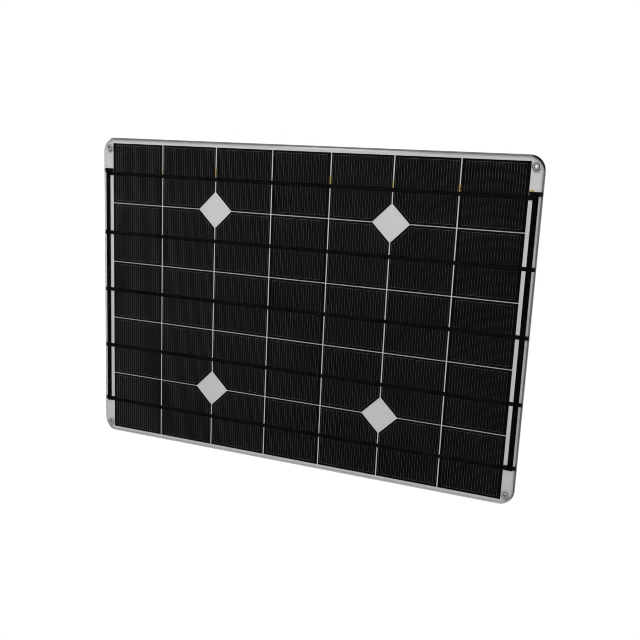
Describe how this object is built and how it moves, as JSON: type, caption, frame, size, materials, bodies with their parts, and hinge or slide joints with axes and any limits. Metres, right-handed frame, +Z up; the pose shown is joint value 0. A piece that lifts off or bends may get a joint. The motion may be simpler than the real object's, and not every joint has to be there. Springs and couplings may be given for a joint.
{
  "type": "solar panel",
  "caption": "Thin rigid solar panel with square-cut cells under a clear front, black ribbons, an eyelet in each corner and a lidded junction box on the back.",
  "frame": {"origin": "centre of the four corner holes, on the panel's flat back face", "axes": "+X along the width, +Z up, +Y out of the back; the cells face -Y"},
  "size_m": [0.39, 0.0254, 0.275],
  "materials": {
    "silicon_cell": "anti-reflective coated silicon, near black, with fine silver grid lines",
    "black_ribbon": "flat copper ribbon with a black coated front",
    "tinned_copper": "tinned copper, dull silver",
    "black_mask": "black polyester strip",
    "clear_cover": "clear gloss sheet",
    "encapsulant": "clear laminating film",
    "white_backsheet": "white film, satin",
    "backing_plate": "satin rolled sheet",
    "eyelet_steel": "nickel-bright, lightly worn",
    "sealant": "black silicone, satin",
    "box_plastic": "fine moulded texture, black",
    "lid_plastic": "fine moulded texture, black",
    "pin_steel": "drawn steel pin",
    "gasket_rubber": "foam rubber",
    "terminal_brass": "stamped brass",
    "screw_steel": "zinc plated",
    "diode_body": "moulded epoxy with a grey band",
    "gland_plastic": "moulded nylon, black",
    "seal_rubber": "soft rubber"
  },
  "bodies": {
    "panel": {"backing_plate": "backing_plate", "box_adhesive_pad": "sealant", "bus_links": "tinned_copper", "bus_masks": "black_mask", "bypass_diode": "diode_body", "cell_r1_c1": "silicon_cell", "cell_r1_c2": "silicon_cell", "cell_r1_c3": "silicon_cell", "cell_r1_c4": "silicon_cell", "cell_r1_c5": "silicon_cell", "cell_r1_c6": "silicon_cell", "cell_r1_c7": "silicon_cell", "cell_r2_c1": "silicon_cell", "cell_r2_c2": "silicon_cell", "cell_r2_c3": "silicon_cell", "cell_r2_c4": "silicon_cell", "cell_r2_c5": "silicon_cell", "cell_r2_c6": "silicon_cell", "cell_r2_c7": "silicon_cell", "cell_r3_c1": "silicon_cell", "cell_r3_c2": "silicon_cell", "cell_r3_c3": "silicon_cell", "cell_r3_c4": "silicon_cell", "cell_r3_c5": "silicon_cell", "cell_r3_c6": "silicon_cell", "cell_r3_c7": "silicon_cell", "cell_r4_c1": "silicon_cell", "cell_r4_c2": "silicon_cell", "cell_r4_c3": "silicon_cell", "cell_r4_c4": "silicon_cell", "cell_r4_c5": "silicon_cell", "cell_r4_c6": "silicon_cell", "cell_r4_c7": "silicon_cell", "cell_r5_c1": "silicon_cell", "cell_r5_c2": "silicon_cell", "cell_r5_c3": "silicon_cell", "cell_r5_c4": "silicon_cell", "cell_r5_c5": "silicon_cell", "cell_r5_c6": "silicon_cell", "cell_r5_c7": "silicon_cell", "clear_cover": "clear_cover", "corner_eyelets": "eyelet_steel", "front_encapsulant": "encapsulant", "gland_body": "gland_plastic", "gland_nut": "gland_plastic", "gland_seal": "seal_rubber", "junction_box_base": "box_plastic", "lid_gasket": "gasket_rubber", "lid_hinge_pin": "pin_steel", "output_leads": "tinned_copper", "rear_encapsulant": "white_backsheet", "row_1_ribbons": "black_ribbon", "row_2_ribbons": "black_ribbon", "row_3_ribbons": "black_ribbon", "row_4_ribbons": "black_ribbon", "row_5_ribbons": "black_ribbon", "terminal_plates": "terminal_brass", "terminal_screws": "screw_steel", "white_backsheet": "white_backsheet"},
    "lid": {"junction_box_lid": "lid_plastic"}
  },
  "joints": [
    {"name": "lid_hinge", "type": "hinge", "parent": "panel", "child": "lid", "pos_m": [0, 0.01855, 0.1252], "axis": [1, 0, 0], "range_deg": [0, 112]}
  ]
}
